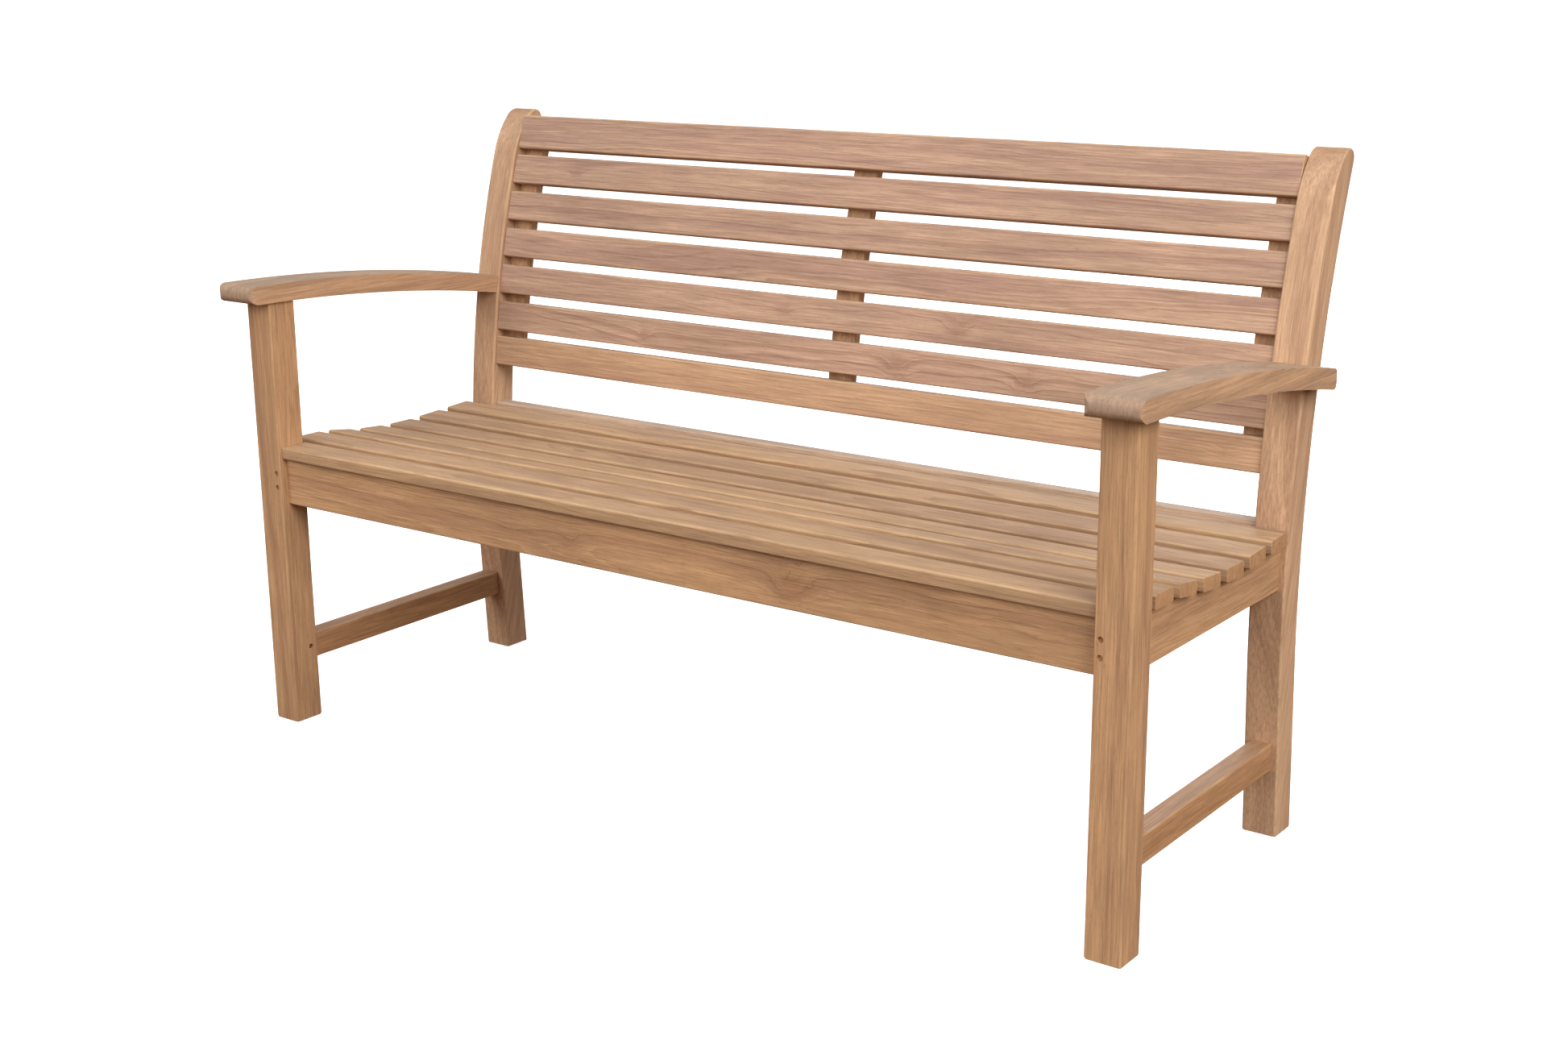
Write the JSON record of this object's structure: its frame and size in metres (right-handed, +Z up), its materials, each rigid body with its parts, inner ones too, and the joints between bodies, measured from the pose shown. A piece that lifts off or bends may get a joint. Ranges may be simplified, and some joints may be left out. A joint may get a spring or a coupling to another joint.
{
  "type": "garden bench",
  "caption": "Slatted hardwood garden bench with arched arms, a curved slat back, a dipped slat seat and pinned mortise joints.",
  "frame": {"origin": "on the floor, at the centre of the overall box", "axes": "+X along the bench towards its right end as seen from the front, +Y from the front to the back, +Z up"},
  "size_m": [1.54, 0.641, 0.919],
  "materials": {
    "teak": "bare planed and sanded wood, matt",
    "pin_wood": "turned hardwood dowel, matt",
    "screw_steel": "stainless steel"
  },
  "bodies": {
    "root": {"front_leg_left": "teak", "front_leg_right": "teak", "rear_leg_left": "teak", "rear_leg_right": "teak", "arm_left": "teak", "arm_right": "teak", "front_apron": "teak", "rear_seat_rail": "teak", "side_rail_left": "teak", "side_rail_right": "teak", "seat_bearer": "teak", "stretcher_left": "teak", "stretcher_right": "teak", "seat_slat_1": "teak", "seat_slat_2": "teak", "seat_slat_3": "teak", "seat_slat_4": "teak", "seat_slat_5": "teak", "seat_slat_6": "teak", "seat_slat_7": "teak", "back_slat_1": "teak", "back_slat_2": "teak", "back_slat_3": "teak", "back_slat_4": "teak", "back_slat_5": "teak", "back_slat_6": "teak", "back_slat_7": "teak", "back_batten_left": "teak", "back_batten_right": "teak", "back_stile": "teak", "apron_pins": "pin_wood", "rear_rail_pins": "pin_wood", "side_rail_pins": "pin_wood", "stretcher_pins": "pin_wood", "arm_dowels": "pin_wood", "seat_screws": "screw_steel", "back_screws": "screw_steel", "batten_screws": "screw_steel"}
  },
  "joints": []
}
